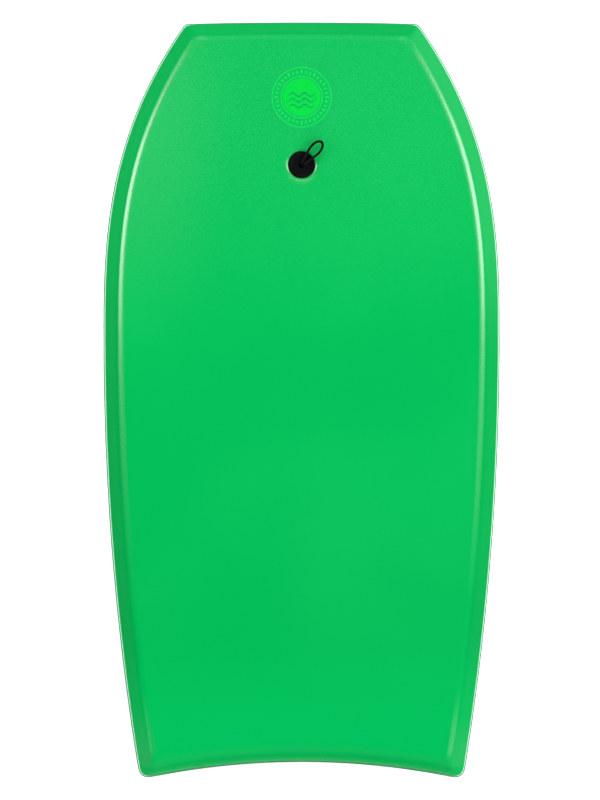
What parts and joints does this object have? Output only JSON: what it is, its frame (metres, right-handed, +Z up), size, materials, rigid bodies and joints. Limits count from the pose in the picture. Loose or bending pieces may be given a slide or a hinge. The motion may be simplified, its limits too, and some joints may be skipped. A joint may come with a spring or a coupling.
{
  "type": "bodyboard",
  "caption": "Foam bodyboard with bevelled deck edges, crescent tail, raised nose, slick bottom and a leash plug whose cord loop swivels and tilts.",
  "frame": {"origin": "on the floor plane under the middle of the board, half way along its length and width, with the flat bottom on z = 0", "axes": "+Y towards the nose, +X towards the rider's right, +Z up out of the deck"},
  "size_m": [0.561, 1.067, 0.0802],
  "materials": {
    "core_foam": "matte",
    "deck_foam": "satin",
    "slick_sheet": "gloss",
    "rail_foam": "matte",
    "end_foam": "matte",
    "plug_plastic": "satin",
    "cord_braid": "matte",
    "print_film": "satin"
  },
  "bodies": {
    "board": {"foam_core": "core_foam", "deck_skin": "deck_foam", "bottom_skin": "slick_sheet", "rail_strip_left": "rail_foam", "rail_strip_right": "rail_foam", "nose_strip": "end_foam", "tail_strip": "end_foam", "plug_top": "plug_plastic", "plug_bottom": "plug_plastic", "deck_emblem": "print_film"},
    "cord_swivel": {"cord_stem": "cord_braid", "cord_knot": "cord_braid"},
    "cord_bight": {"cord_loop": "cord_braid"}
  },
  "joints": [
    {"name": "loop_swivel", "type": "hinge", "parent": "board", "child": "cord_swivel", "pos_m": [0, 0.3332, 0.05211], "axis": [0, -0.0695, 0.9976], "continuous": true},
    {"name": "loop_tilt", "type": "hinge", "parent": "cord_swivel", "child": "cord_bight", "pos_m": [0, 0.33217, 0.06678], "axis": [0.7547, -0.6545, -0.0456], "range_deg": [-10, 80]}
  ]
}
